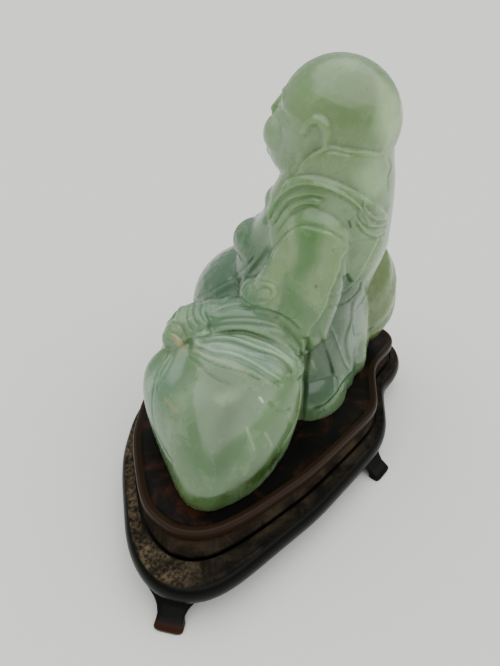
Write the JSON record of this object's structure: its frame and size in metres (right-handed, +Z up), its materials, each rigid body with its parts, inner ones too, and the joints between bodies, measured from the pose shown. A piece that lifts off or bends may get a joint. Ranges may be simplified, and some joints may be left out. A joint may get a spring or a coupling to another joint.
{
  "type": "laughing buddha carving on stand",
  "caption": "Seated laughing figure with a cloth sack, carved from pale green jade, resting on a lobed, waisted hardwood stand with splayed feet.",
  "frame": {"origin": "centre of the part's bounding box on the surface that it stands on", "axes": "+Z up; +X along the stand towards the sack at the figure's left side; the figure faces -Y"},
  "size_m": [0.2048, 0.1284, 0.1759],
  "materials": {
    "jade": "polished translucent pale green jade with whitish clouds, olive and deeper green patches and a few dark specks",
    "lacquered_hardwood": "near-black lacquered hardwood, reddish brown where worn, dusty on the ledge"
  },
  "bodies": {
    "root": {"hardwood_stand": "lacquered_hardwood", "jade_carving": "jade"}
  },
  "joints": []
}
